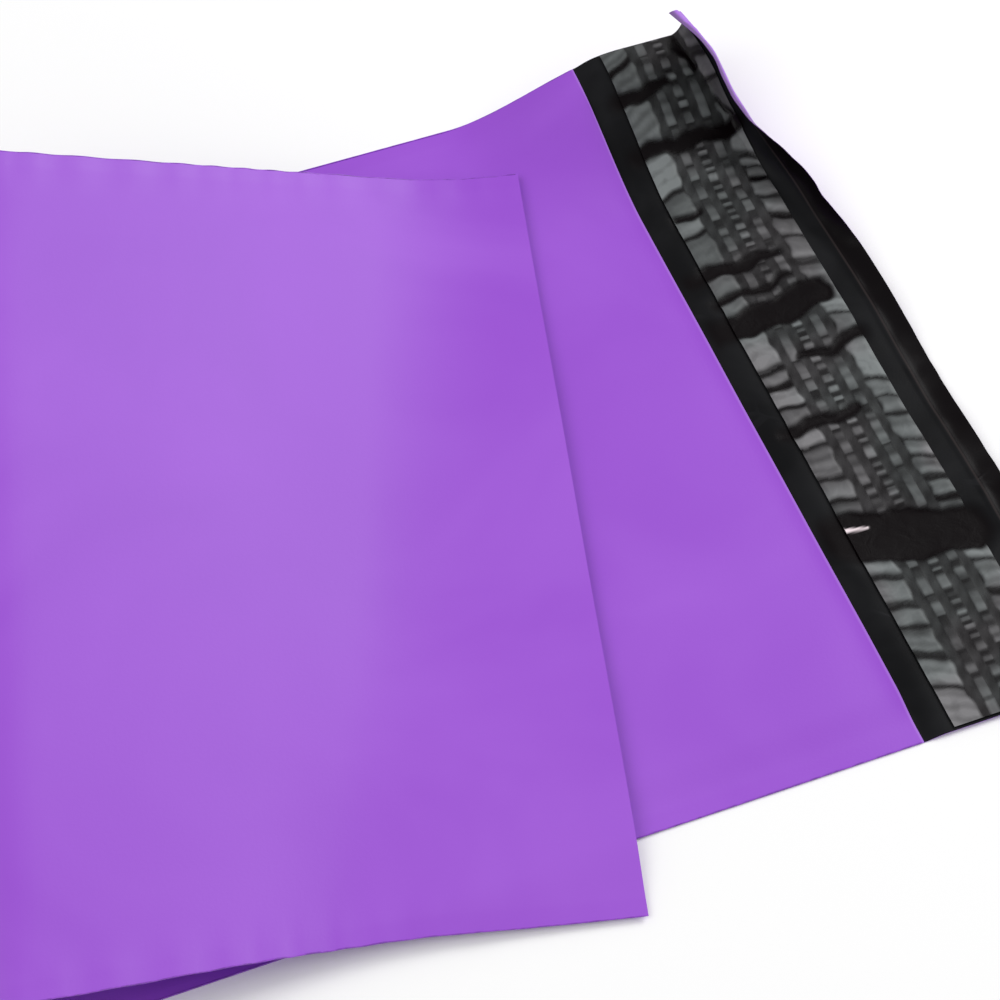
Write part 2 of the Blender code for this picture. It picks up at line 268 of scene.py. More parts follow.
def seam_pucker(s, v):
    """Short ripples that the welds draw into the film beside them."""
    near = smooth(1.0 - (HALF_WIDTH - np.abs(v)) / SEAM_PUCKER_REACH)
    drift = SEAM_DRIFT * wave(s, SEAM_DRIFT_PITCH) * SEAM_PUCKER_PITCH
    ripple = wave(s + drift, SEAM_PUCKER_PITCH)
    return SEAM_PUCKER * near * (1.0 + ripple)


def body_row(s, v):
    """Points and up directions of the back panel's outer face, s from the mouth, at places v across."""
    cos_skew, sin_skew = math.cos(FOLD_SKEW), math.sin(FOLD_SKEW)
    q = s * cos_skew + v * sin_skew
    p = v * cos_skew - s * sin_skew
    fold = Fold(p)
    place, height, turn = fold.at(q)
    way = (q - fold.lift_off()) / fold.total
    slipped = p + SIDE_SLIP * smooth(way)
    x = -place * cos_skew + slipped * sin_skew
    y = place * sin_skew + slipped * cos_skew
    height = height + (corner_rise(s, v) + lower_wave(s, v)) * smooth(1.0 - way / LOWER_FADE)
    overhang = smooth((-HALF_WIDTH - y) / OVERHANG_REACH)
    droop = (LANDING_HEIGHT - PANELS - GROUND_CLEARANCE) * overhang
    landed = smooth(1.0 - (1.0 - way) / UPPER_FADE)
    risen = (upper_wave(s, v) + seam_pucker(s, v) + pressed_creases(s, v)) * (1.0 - overhang)
    height = height + landed * (risen - droop)
    height = height + smooth(way / SEAM_PUCKER_EASE) * (1.0 - landed) * seam_pucker(s, v)
    up = np.stack([np.sin(turn) * cos_skew, -np.sin(turn) * sin_skew, np.cos(turn)], 1)
    return np.stack([x, y, height], 1), up


def curl_share(v):
    return smooth(v / CURL_SPAN)


def curl_spread(v):
    return np.maximum(2.0 * v / BAG_WIDTH, 0.0) ** CURL_SPREAD


def rolled_share(v, lengths):
    """How far the lip has turned up, from 0 where it leaves the flat to 1 at its free edge."""
    reach = LIP_REACH + (CURL_REACH - LIP_REACH) * curl_spread(v)
    return np.clip((lengths - FLAP_LENGTH + reach) / reach, 0.0, 1.0)


def flap_turns(v, lengths):
    """Turn of the flap out of the flat, at the lengths from the mouth edge, one row for each place."""
    v = v[:, None]
    corner_length = CORNER_REACH_POCKET + CORNER_REACH_FLAP
    share = np.clip((CORNER_REACH_POCKET + lengths) / corner_length, 0.0, 1.0)
    corner = np.arctan(CORNER_LIFT * corner_share(v) * 6.0 * share * (1.0 - share) / corner_length)
    lip = LIP_TURN * (1.0 - LIP_WAVE + LIP_WAVE * wave(v, LIP_PITCH))
    bend = 1.0 - (1.0 - CURL_BEND) * curl_share(v)
    return corner + (lip + CURL_TURN * curl_share(v)) * rolled_share(v, lengths) ** bend


def flap_row(u, v):
    """Points and up directions of the flap's outer face, u from the mouth edge, at places v across."""
    turns = flap_turns(v, SHARES[None, :] * u)
    along, up = integrated(turns, u)
    last = turns[:, -1]
    ripple = FLAP_RIPPLE * (1.0 + wave(v, FLAP_RIPPLE_PITCH)) / 2.0
    rise = ripple * smooth((u - FLAP_RIPPLE_START) / FLAP_LENGTH) * (1.0 - curl_share(v))
    height = up[:, -1] + rise + corner_rise(0.0, v)
    pulled = CURL_PULL * curl_share(v) * curl_spread(v) * rolled_share(v, u) ** 2
    points = np.stack([along[:, -1], v - pulled, height], 1)
    normals = np.stack([-np.sin(last), np.zeros(len(v)), np.cos(last)], 1)
    return points + normals * flap_relief(u, v)[:, None], normals


def film_row(s, v):
    return body_row(s, v) if s > 0.0 else flap_row(-s, v)


# Folds across the flap and its liner, dipped in the film and darkened with painted shade, in millimetres:
# the place from the mouth edge, the place across the bag and half the fold's width, at the fold's two ends
DEEP_FOLDS = (
    (3.0, -45.5, 5.5, 17.0, -50.5, 7.4), (17.0, -50.5, 7.4, 33.0, -54.5, 5.4),
    (6.0, -16.0, 1.9, 24.5, -15.4, 1.5),
    (3.0, 16.0, 3.6, 20.0, 17.6, 4.3), (20.0, 17.6, 4.3, 30.0, 20.2, 4.2),
    (6.0, 25.0, 1.2, 21.0, 25.4, 1.0), (21.0, 25.4, 1.0, 26.0, 27.6, 0.8),
    (3.0, 33.4, 2.2, 19.0, 33.8, 2.0), (19.0, 33.8, 2.0, 26.0, 34.8, 1.0),
    (8.0, 52.2, 1.2, 14.0, 52.2, 0.9),
    (5.0, 71.8, 2.0, 34.0, 72.2, 1.9),
    (7.0, 85.2, 2.2, 20.0, 87.2, 1.2),
    (28.0, 88.6, 1.0, 25.6, 97.0, 1.3),
    (33.6, 74.6, 0.8, 29.8, 79.6, 0.4),
    (18.5, 3.0, 0.9, 27.0, 2.8, 1.6), (27.0, 2.8, 1.6, 34.0, 5.2, 2.0),
)

# Creases between the liner's pillows, in millimetres: the place across the bag and half the width,
# along the edge beside the mouth and along the edge beside the lip
MOUTH_SIDE_CREASES = (
    (-90.2, 0.5), (-81.5, 0.9), (-73.7, 0.5), (-67.9, 0.9), (-60.0, 0.7), (-37.8, 0.5), (-31.3, 0.7),
    (-21.7, 0.5), (-9.8, 0.5), (-3.6, 0.8), (1.7, 0.9), (45.8, 0.5), (59.6, 0.5), (94.2, 0.8),
)
LIP_SIDE_CREASES = (
    (-94.0, 0.6), (-87.5, 0.8), (-79.5, 0.5), (-71.5, 0.8), (-63.0, 0.4), (-45.4, 0.8), (-39.5, 0.8),
    (-33.0, 0.5), (-27.8, 0.6), (-19.7, 0.4), (-14.3, 0.4), (-8.8, 0.6), (11.6, 0.4), (29.0, 1.0),
    (37.6, 0.4), (44.8, 0.9), (51.4, 0.6), (57.2, 0.6), (61.0, 0.4), (64.3, 0.9), (84.6, 0.4), (91.6, 1.0),
)
MOUTH_SIDE_LEAN = (0.005, 0.0)
LIP_SIDE_LEAN = (0.0, -0.3)
# How the folds' edges waver, in millimetres: height, shares of the places along and across, and pitch
FOLD_WAVER_ALONG = ((0.45, 0.0, 1.0, 0.0093), (0.10, -1.0, 1.0, 0.0041))
FOLD_WAVER_ACROSS = ((0.55, 1.0, 0.3, 0.0117), (0.14, 1.0, -0.4, 0.0047))


def within(u, v, segment, soft):
    """1 inside a tapered fold from end to end, easing to 0 over the soft width, all in millimetres."""
    u0, v0, half0, u1, v1, half1 = segment
    du, dv = u1 - u0, v1 - v0
    share = np.clip(((u - u0) * du + (v - v0) * dv) / (du * du + dv * dv), 0.0, 1.0)
    away = np.hypot(u - u0 - share * du, v - v0 - share * dv)
    return smooth((half0 + share * (half1 - half0) - away) / soft + 0.5)


def deep_folds(u, v, soft):
    """How far a place on the flap lies in one of the folds, from 0 to 1: it sets the folds' dips and their
    painted shade.
    """
    deepest = np.zeros(np.broadcast(u, v).shape)
    bent_u = u / MM + wavered(u, v, FOLD_WAVER_ALONG)
    bent_v = v / MM + wavered(u, v, FOLD_WAVER_ACROSS)
    for segment in DEEP_FOLDS:
        deepest = np.maximum(deepest, within(bent_u, bent_v, segment, soft))
    return deepest


LIP_CREASE = 0.0404
LIP_CREASE_HALF = 0.0005
LIP_CREASE_HEIGHT = 0.00022
LIP_CRINKLE = 0.00035
LIP_CRINKLE_EASE = 0.002
LIP_CRINKLE_SINK = 0.3
LIP_CRINKLE_RATES = (3.0, 1.6)
FOLD_DIP = 0.00045
FOLD_DIP_SOFT = 3.0
FOLD_DIP_EASE = 0.006
FLAP_SWELL = soft_waves(seed=21, count=7, shortest=0.008, longest=0.022, lean=1.57, spread=0.35)
FLAP_SWELL_HEIGHT = 0.0002
FLAP_SWELL_EASE = 0.004


def flap_relief(u, v):
    """Small unevenness of the flap: dips at its folds, a crease along the lip and crinkles beyond it."""
    at = np.full(len(v), u)
    along, across = LIP_CRINKLE_RATES
    eased = smooth(u / FOLD_DIP_EASE)
    rise = FLAP_SWELL_HEIGHT * smooth(u / FLAP_SWELL_EASE) * (1.0 + swell(FLAP_SWELL, at, v))
    rise = rise - FOLD_DIP * deep_folds(at, v, FOLD_DIP_SOFT) * eased
    crease = np.exp(-(((u - LIP_CREASE) / LIP_CREASE_HALF) ** 2))
    beyond = smooth((u - LIP_CREASE) / LIP_CRINKLE_EASE)
    crinkle = LIP_CRINKLE * (swell(FLAP_SWELL, at * along, v * across) - LIP_CRINKLE_SINK)
    return rise + LIP_CREASE_HEIGHT * crease + crinkle * beyond + FOLD_DIP * eased


def pocket_gap(s, v):
    """How far the panels stand apart, nothing at the side seams and at the bottom crease."""
    from_seam = HALF_WIDTH - SEAM_WIDTH - np.abs(v)
    from_bottom = POCKET_DEPTH - BOTTOM_CREASE - s
    apart = POCKET_GAP * smooth(from_seam / POCKET_EASE) * smooth(from_bottom / POCKET_EASE)
    lower = smooth((LOWER_SWELL_END - s) / LOWER_SWELL_EASE)
    puffed = LOWER_SWELL_HEIGHT * (1.0 + swell(LOWER_SWELL, s, v)) * lower
    return apart * (1.0 + puffed / POCKET_GAP)


def mouth_lift(s, v):
    """The cut edge of the front panel stands up a little along the mouth."""
    inside = smooth((HALF_WIDTH - SEAM_WIDTH - np.abs(v)) / POCKET_EASE)
    return MOUTH_LIFT * inside * np.maximum(1.0 - s / MOUTH_LIFT_REACH, 0.0) ** 2


# Meshes
FLAP_STEP = 0.00080
BODY_STEP = 0.0026
BODY_START = 0.005
MOUTH_ROWS = (0.0, 0.0006, 0.0012, 0.0020, 0.0032)
ACROSS_STEP = 0.00138
SHARP_ANGLE = math.radians(40)
FLAT_SCALE = 0.4
MERGE_REACH = 1e-7
FOLD_SHADE_SOFT = 4.0
FOLD_SHADE_EASE = 0.003


def stations(start, end, step):
    return [float(x) for x in np.linspace(start, end, max(2, round((end - start) / step) + 1))]


def placed(name, mesh):
    obj = bpy.data.objects.new(name, mesh)
    bpy.context.scene.collection.objects.link(obj)
    return obj


def store(mesh, name, values):
    """Keeps one number for each vertex of the mesh, for its material to read."""
    attribute = mesh.attributes.new(name, "FLOAT", "POINT")
    attribute.data.foreach_set("value", np.asarray(values, np.float32))


def lay_flat_map(mesh, s, v):
    """A UV map with each vertex at its place on the flat film, in parts of FLAT_SCALE."""
    layer = mesh.uv_layers.new(name="flat")
    corners = np.zeros(len(mesh.loops), np.int32)
    mesh.loops.foreach_get("vertex_index", corners)
    places = np.stack([(s[corners] + FLAP_LENGTH) / FLAT_SCALE, (v[corners] + HALF_WIDTH) / FLAT_SCALE], 1)
    layer.uv.foreach_set("vector", places.astype(np.float32).ravel())


def quads(a, b, c, d):
    return np.stack([x.ravel() for x in (a, b, c, d)], 1)


def blocks(grid, up):
    """Faces over a grid of vertex numbers, seen from above if up."""
    a, b, c, d = grid[:-1, :-1], grid[1:, :-1], grid[1:, 1:], grid[:-1, 1:]
    return quads(a, b, c, d) if up else quads(a, d, c, b)


def finished(name, points, faces, s, v, materials, kinds):
    mesh = bpy.data.meshes.new(name)
    mesh.from_pydata(points.tolist(), [], faces.tolist())
    for material in materials:
        mesh.materials.append(material)
    mesh.polygons.foreach_set("material_index", np.asarray(kinds, np.int32))
    mesh.shade_smooth()
    mesh.set_sharp_from_angle(angle=SHARP_ANGLE)
    lay_flat_map(mesh, s, v)
    mesh.validate()
    return placed(name, mesh)


def build_film(purple, black):
    """The pouch and its flap as one closed film, folded over itself: purple outside, black inside."""
    flap = [-u for u in reversed(stations(0.0, FLAP_LENGTH, FLAP_STEP)[1:])]
    last = POCKET_DEPTH - BOTTOM_CREASE
    body = [*MOUTH_ROWS, *stations(BODY_START, last, BODY_STEP), POCKET_DEPTH]
    inner = HALF_WIDTH - SEAM_WIDTH
    across = np.array([-HALF_WIDTH, *stations(-inner, inner, ACROSS_STEP), HALF_WIDTH])
    length = np.array(flap + body)
    mouth, crease, end = len(flap), len(length) - 2, len(length) - 1
    rows = [film_row(s, across) for s in length]
    base = np.array([row[0] for row in rows])
    up = np.array([row[1] for row in rows])
    s, v = np.meshgrid(length, across, indexing="ij")
    gap = pocket_gap(s, v) * (s >= 0.0)
    lift = mouth_lift(np.maximum(s, 0.0), v)
    pocket = np.zeros(s.shape, bool)
    pocket[mouth:crease, 2:-2] = True
    lifts = {
        "outer_back": np.zeros(s.shape),
        "inner_back": np.full(s.shape, FILM),
        "inner_front": FILM + gap + lift,
        "outer_front": 2.0 * FILM + gap + lift,
    }
    points, number, s_of, v_of, first = [], {}, [], [], 0
    for layer, height in lifts.items():
        used = np.ones(s.shape, bool)
        if layer == "inner_front":
            used = pocket
        if layer == "outer_front":
            used = s >= 0.0
        count = int(used.sum())
        numbers = number["inner_back"].copy() if layer == "inner_front" else np.full(s.shape, -1)
        numbers[used] = first + np.arange(count)
        number[layer] = numbers
        points.append((base + up * height[..., None])[used])
        s_of.append(s[used])
        v_of.append(v[used])
        first += count
    outer_back, inner_back = number["outer_back"], number["inner_back"]
    inner_front, outer_front = number["inner_front"], number["outer_front"]
    inner_rim, outer_rim = inner_front[mouth], outer_front[mouth]
    columns = slice(1, -1)
    parts = [
        (blocks(outer_back, False), 0),
        (blocks(inner_back[: mouth + 1], True), 1),
        (blocks(inner_back[mouth : crease + 1, columns], True), 1),
        (blocks(inner_front[mouth : crease + 1, columns], False), 1),
        (blocks(outer_front[mouth:], True), 0),
        (quads(outer_back[0, :-1], inner_back[0, :-1], inner_back[0, 1:], outer_back[0, 1:]), 0),
        (quads(inner_rim[:-1], outer_rim[:-1], outer_rim[1:], inner_rim[1:]), 0),
        (quads(outer_back[end, :-1], outer_back[end, 1:], outer_front[end, 1:], outer_front[end, :-1]), 0),
    ]
    for j, turned in ((0, False), (-1, True)):
        for rim, top in ((slice(0, mouth + 1), inner_back), (slice(mouth, end + 1), outer_front)):
            low, high = outer_back[rim, j], top[rim, j]
            wall = quads(low[:-1], low[1:], high[1:], high[:-1])
            parts.append((wall[:, ::-1] if turned else wall, 0))
    faces = np.concatenate([p[0] for p in parts])
    kinds = np.concatenate([np.full(len(p[0]), p[1]) for p in parts])
    points = np.concatenate(points)
    s_of, v_of = np.concatenate(s_of), np.concatenate(v_of)
    film = finished("mailer_film_pouch", points, faces, s_of, v_of, [purple, black], kinds)
    on_flap = smooth(-s_of / FOLD_SHADE_EASE)
    # The folds' painted shade, for the black film's colour to read
    store(film.data, "fold_shade", deep_folds(-s_of, v_of, FOLD_SHADE_SOFT) * on_flap)
    bm = bmesh.new()
    bm.from_mesh(film.data)
    bmesh.ops.remove_doubles(bm, verts=bm.verts, dist=MERGE_REACH)
    bmesh.ops.recalc_face_normals(bm, faces=bm.faces)
    bm.to_mesh(film.data)
    bm.free()
    return film


def strip_points(u_places, v_places, lift):
    """Points and up directions over the flap, on a grid of places along and across it."""
    rows = [flap_row(u, v_places) for u in u_places]
    base = np.array([row[0] for row in rows])
    up = np.array([row[1] for row in rows])
    return base + up * lift[..., None], up


PILLOW_SEED = 12
LINER_STEP_ALONG = 0.00036
LINER_STEP_ACROSS = 0.00052
LINER_LIFT = 0.00042
PILLOW_HEIGHT = 0.00026
DASH_HEIGHT = 0.00009
# The pillows' paleness, how much painted shade fades it along each, and the strength and rate of their
# painted highlight streaks
PILLOW_LEVELS = (0.80, 1.15)
PILLOW_SHADE_FADES = (0.45, 0.75)
PILLOW_HIGHLIGHT_STREAKS = (0.0, 0.28)
HIGHLIGHT_STREAK_RATE = 1.9
LEAST_PILLOW = 2.0
CREASE_WIDENING = 1.5
PILLOW_CREASE_SOFT = 1.4
# Painted shade in the creases between the pillows
PILLOW_CREASE_SHADE = (0.7, 1.0)
PILLOW_ROUNDING = 0.0011
LEAN_MIDDLE = 10.0
DRY_EDGE_LIGHT = (0.98, 0.88)
DRY_EDGE_SOFT = 0.0009
GLUE_END = GLUE_START + (GLUE_COUNT - 1) * GLUE_PITCH + GLUE_STRIPE
DRY_EDGES = ((LINER_START, GLUE_START), (GLUE_END, LINER_END))
GLUE_SHADE = 0.155
GLUE_SOFT = 0.0006
LEAST_PALE = 0.07
# Small waves as the folds have them: of the creases, the dashes, the stripes, their edges and their shade
CREASE_WAVER = ((0.25, 1.0, 0.3, 0.0075), (0.125, -0.6, 1.0, 0.0046))
DASH_WAVER = ((0.25, 0.0, 1.0, 0.0191), (0.2, 0.0, 1.0, 0.0063))
STRIPE_WAVER = ((0.00008, 0.0, 1.0, 0.0173), (0.00005, 0.0, 1.0, 0.0059))
EDGE_WAVER = ((0.00030, 0.0, 1.0, 0.0127), (0.00018, 0.0, 1.0, 0.0051))
SHADE_WAVER = ((0.22, 0.7, 1.0, 0.0107), (0.16, -1.1, 1.0, 0.0049))
# Shortest and longest dash, in millimetres, and the darkness of its ends in the gaps between the stripes
DASHES = ((4.0, 12.0, (0.1, 0.6)), (1.9, 4.6, (0.7, 1.0)), (4.0, 13.0, (0.1, 0.6)))
DASH_LIGHT = (0.62, 0.80, 0.62)
DASH_BREAKS = (0.35, 0.62)
DASH_COUNT = 120
DASH_BIAS = 1.5
DASH_REACH = 105.0
DASH_HALF = 0.00115
DASH_SOFT = 0.0008
# The liner's painted light at its brightest places, and painted shade at one: place across the bag, reach
# and share, in millimetres
PAINTED_LIGHT_PLACES = ((63.0, 7.0, 0.42), (-7.0, 9.0, 0.25), (-67.0, 12.0, 0.10), (27.0, 6.0, -0.15))
# A painted glint on a small ridge of the liner, in millimetres as the folds are given, with its soft width
# and the ridge's height
GLINT_CREASE = (6.9, -45.4, 0.55, 12.2, -46.3, 0.22)
GLINT_SOFT = 0.6
GLINT_RIDGE_HEIGHT = 0.0002
LINER_FOLD_SOFT = 1.8
LINER_FOLD_SHADE_SOFT = 1.6
LINER_END_EASE = 0.003
LINER_RIM_EASE = 0.0010


def glue_share(u):
    """1 over a glue stripe and 0 between stripes, at distances u from the mouth edge."""
    over = np.zeros(np.shape(u))
    for number in range(GLUE_COUNT):
        middle = GLUE_START + number * GLUE_PITCH + GLUE_STRIPE / 2.0
        over = np.maximum(over, smooth((GLUE_STRIPE / 2.0 - np.abs(u - middle)) / GLUE_SOFT + 0.5))
    return over


def pillows(places, cuts, halves, dice, soft, darkest):
    """Light and height of a row of pillows between cuts: painted light, palest at one end of each, with
    painted highlight streaks and painted shade in the cuts.
    """
    cuts, halves = np.asarray(cuts), np.asarray(halves)
    after = np.searchsorted(cuts, places)
    below = np.clip(after - 1, 0, len(cuts) - 1)
    above = np.clip(after, 0, len(cuts) - 1)
    span = np.maximum(cuts[above] - cuts[below], LEAST_PILLOW)
    share = np.clip((places - cuts[below]) / span, 0.0, 1.0)
    level = dice.uniform(*PILLOW_LEVELS, len(cuts) + 1)[after]
    fade = dice.uniform(*PILLOW_SHADE_FADES, len(cuts) + 1)[after]
    ripples = np.sin(places * HIGHLIGHT_STREAK_RATE + 4.0 * level)
    streak = dice.uniform(*PILLOW_HIGHLIGHT_STREAKS, len(cuts) + 1)[after] * ripples
    depth = dice.uniform(darkest[0], darkest[1], len(cuts))
    near = np.maximum(
        smooth((halves[below] - np.abs(places - cuts[below])) / soft + 0.5) * depth[below],
        smooth((halves[above] - np.abs(places - cuts[above])) / soft + 0.5) * depth[above],
    )
    # Painted light: each pillow fades from one end, with painted highlight streaks
    light = level * (1.0 - fade * share) * (1.0 + streak)
    height = np.sqrt(np.clip(4.0 * share * (1.0 - share), 0.0, 1.0)) * (0.6 + 0.4 * level)
    return light * (1.0 - near), height * (1.0 - near)


def dry_row(u, v, row, creases, lean, dice):
    """Light and height of the pillows along one edge of the liner."""
    start, end = DRY_EDGES[row]
    slope, level = lean
    middle = (start + end) / 2.0
    slanted = (slope * (v / MM + LEAN_MIDDLE) + level) * (u - middle)
    leaned = (v - slanted) / MM + wavered(u, v, CREASE_WAVER)
    cuts = [c[0] for c in creases]
    halves = [c[1] * CREASE_WIDENING for c in creases]
    light, height = pillows(leaned, cuts, halves, dice, PILLOW_CREASE_SOFT, PILLOW_CREASE_SHADE)
    rounded = smooth((u - start) / PILLOW_ROUNDING + 0.35) * smooth((end - u) / PILLOW_ROUNDING + 0.35)
    return light, height * rounded


def dash_row(v, number, dice):
    """Light and height of the short dashes in one gap between glue stripes."""
    shortest, longest, darkness = DASHES[number]
    lengths = dice.uniform(0.0, 1.0, DASH_COUNT) ** DASH_BIAS * (longest - shortest) + shortest
    cuts = np.cumsum(lengths) - DASH_REACH
    cuts = cuts[cuts < DASH_REACH]
    halves = dice.uniform(*DASH_BREAKS, len(cuts))
    return pillows(v / MM + wavered(0.0, v, DASH_WAVER), cuts, halves, dice, 1.0, darkness)


def liner_look(u, v):
    """How pale the liner is, with painted light and shade, where it carries a painted glint and how far it
    stands off, at places on the flap.
    """
    dice = np.random.default_rng(PILLOW_SEED)
    wander = wavered(0.0, v, STRIPE_WAVER)
    ragged = wavered(0.0, v, EDGE_WAVER)
    beside_mouth = smooth((GLUE_START + ragged - u) / DRY_EDGE_SOFT + 0.5)
    beside_lip = smooth((u + ragged - GLUE_END) / DRY_EDGE_SOFT + 0.5)
    middle = (1.0 - beside_mouth) * (1.0 - beside_lip)
    mouth_light, mouth_height = dry_row(u, v, 0, MOUTH_SIDE_CREASES, MOUTH_SIDE_LEAN, dice)
    lip_light, lip_height = dry_row(u, v, 1, LIP_SIDE_CREASES, LIP_SIDE_LEAN, dice)
    between = np.zeros(u.shape)
    raised = np.zeros(u.shape)
    for number in range(GLUE_COUNT - 1):
        gap_middle = GLUE_START + GLUE_STRIPE + number * GLUE_PITCH + (GLUE_PITCH - GLUE_STRIPE) / 2.0
        row = smooth((DASH_HALF - np.abs(u + wander - gap_middle)) / DASH_SOFT + 0.5)
        light, height = dash_row(v, number, dice)
        shown = 0.35 + 0.65 * smooth(light * 1.5 - 0.35)
        between = np.maximum(between, row * shown * light * DASH_LIGHT[number])
        raised = np.maximum(raised, row * height)
    over_glue = GLUE_SHADE * (1.0 + wavered(u, v, SHADE_WAVER))
    stripes = np.maximum(over_glue * glue_share(u + wander), LEAST_PALE)
    # Painted light and shade in broad places along the liner
    places = (share * np.exp(-(((v / MM - place) / reach) ** 2)) for place, reach, share in PAINTED_LIGHT_PLACES)
    pale = beside_mouth * mouth_light * DRY_EDGE_LIGHT[0] + beside_lip * lip_light * DRY_EDGE_LIGHT[1]
    pale = (pale + middle * np.maximum(stripes, between)) * (1.0 + sum(places))
    # Painted shade: the liner darkens in the folds
    folds = deep_folds(u, v, LINER_FOLD_SOFT)
    painted_glint = within(u / MM, v / MM, GLINT_CREASE, GLINT_SOFT)
    pale = np.maximum(pale * (1.0 - folds) ** 1.5, 0.0)
    height = beside_mouth * mouth_height + beside_lip * lip_height
    rise = (PILLOW_HEIGHT * height + DASH_HEIGHT * raised * middle) * (1.0 - folds)
    ends = smooth((HALF_WIDTH - LINER_END_INSET - np.abs(v)) / LINER_END_EASE)
    rims = smooth((u - LINER_START) / LINER_RIM_EASE) * smooth((LINER_END - u) / LINER_RIM_EASE)
    return pale, painted_glint, rise * (0.2 + 0.8 * ends * rims) + GLINT_RIDGE_HEIGHT * painted_glint


def build_liner(material):
    """The release liner: a thin clear sheet over the glue, drawn into pillows between creases."""
    reach = HALF_WIDTH - LINER_END_INSET
    u_places = np.array(stations(LINER_START, LINER_END, LINER_STEP_ALONG))
    v_places = np.array(stations(-reach, reach, LINER_STEP_ACROSS))
    u, v = np.meshgrid(u_places, v_places, indexing="ij")
    pale, painted_glint, rise = liner_look(u, v)
    low, _ = strip_points(u_places, v_places, FILM + LINER_LIFT + rise)
    high, _ = strip_points(u_places, v_places, FILM + LINER_LIFT + rise + LINER_FILM)
    count = u.size
    bottom = np.arange(count).reshape(u.shape)
    top = bottom + count
    parts = [blocks(top, True), blocks(bottom, False)]
    for i, turned in ((0, False), (-1, True)):
        wall = quads(bottom[i, :-1], top[i, :-1], top[i, 1:], bottom[i, 1:])
        parts.append(wall[:, ::-1] if turned else wall)
    for j, turned in ((0, False), (-1, True)):
        wall = quads(bottom[:-1, j], bottom[1:, j], top[1:, j], top[:-1, j])
        parts.append(wall[:, ::-1] if turned else wall)
    faces = np.concatenate(parts)
    points = np.concatenate([low.reshape(-1, 3), high.reshape(-1, 3)])
    s_of, v_of = -np.tile(u.ravel(), 2), np.tile(v.ravel(), 2)
    liner = finished("puckered_liner", points, faces, s_of, v_of, [material], np.zeros(len(faces)))
    store(liner.data, "pale", np.tile(pale.ravel(), 2))
    store(liner.data, "painted_glint", np.tile(painted_glint.ravel(), 2))
    # The folds' painted shade, for the liner's colour to read
    store(liner.data, "fold_shade", np.tile(deep_folds(u, v, LINER_FOLD_SHADE_SOFT).ravel(), 2))
    return liner


# Geometry Nodes: a bead that follows a path over the film, for the glue and for the side welds


def new_socket(tree, name, kind, default=None, output=False):
    socket = tree.interface.new_socket(name, in_out="OUTPUT" if output else "INPUT", socket_type=kind)
    if default is not None:
        socket.default_value = default
    return socket


def added(tree, kind, fed=None, **settings):
    """A new node with its settings, whose inputs are linked to sockets or hold values."""
    node = tree.nodes.new(kind)
    for key, value in settings.items():
        setattr(node, key, value)
    for key, value in (fed or {}).items():
        if isinstance(value, bpy.types.NodeSocket):
            tree.links.new(value, node.inputs[key])
        else:
            node.inputs[key].default_value = value
    return node


def math_node(tree, operation, *values, clamp=False):
    fed = dict(enumerate(values))
    return added(tree, "ShaderNodeMath", fed, operation=operation, use_clamp=clamp).outputs[0]


def bead_tree():
    """A tree that sweeps a flat oval along each path, wavering and rippled, and gives it a material."""
    tree = bpy.data.node_groups.new("bead_along_paths", "GeometryNodeTree")
    new_socket(tree, "Geometry", "NodeSocketGeometry", output=True)
    new_socket(tree, "Paths", "NodeSocketGeometry")
    sizes = {"Width": GLUE_STRIPE, "Height": GLUE_HEIGHT, "Ripple": 0.1, "Ripple Pitch": 0.006, "Seed": 1.0}
    for label, size in sizes.items():
        new_socket(tree, label, "NodeSocketFloat", size)
    new_socket(tree, "Sides", "NodeSocketInt", 8)
    new_socket(tree, "Material", "NodeSocketMaterial")
    given = tree.nodes.new("NodeGroupInput").outputs
    curve = added(tree, "GeometryNodeMeshToCurve", {"Mesh": given["Paths"]}).outputs["Curve"]
    up = added(tree, "GeometryNodeInputNamedAttribute", {"Name": "up"}, data_type="FLOAT_VECTOR")
    fed = {"Curve": curve, "Normal": up.outputs["Attribute"]}
    facing = added(tree, "GeometryNodeSetCurveNormal", fed, mode="FREE").outputs["Curve"]
    place = tree.nodes.new("GeometryNodeInputPosition").outputs["Position"]
    rate = math_node(tree, "DIVIDE", 1.0, given["Ripple Pitch"])
    fed = {"Vector": place, "W": given["Seed"], "Scale": rate, "Detail": 1.0}
    noise = added(tree, "ShaderNodeTexNoise", fed, noise_dimensions="4D").outputs["Fac"]
    centred = math_node(tree, "SUBTRACT", noise, 0.5)
    rippled = math_node(tree, "MULTIPLY_ADD", centred, given["Ripple"], 1.0)
    circle = added(tree, "GeometryNodeCurvePrimitiveCircle", {"Resolution": given["Sides"], "Radius": 0.5})
    size = added(tree, "ShaderNodeCombineXYZ", {"X": given["Height"], "Y": given["Width"], "Z": 1.0})
    fed = {"Geometry": circle.outputs["Curve"], "Scale": size.outputs["Vector"]}
    oval = added(tree, "GeometryNodeTransform", fed).outputs["Geometry"]
    fed = {"Curve": facing, "Profile Curve": oval, "Scale": rippled, "Fill Caps": True}
    mesh = added(tree, "GeometryNodeCurveToMesh", fed).outputs["Mesh"]
    smoothed = added(tree, "GeometryNodeSetShadeSmooth", {"Geometry": mesh}).outputs["Geometry"]
    real = added(tree, "GeometryNodeRealizeInstances", {"Geometry": smoothed}).outputs["Geometry"]
    finish = added(tree, "GeometryNodeSetMaterial", {"Geometry": real, "Material": given["Material"]})
    result = tree.nodes.new("NodeGroupOutput")
    tree.links.new(finish.outputs["Geometry"], result.inputs["Geometry"])
    return tree


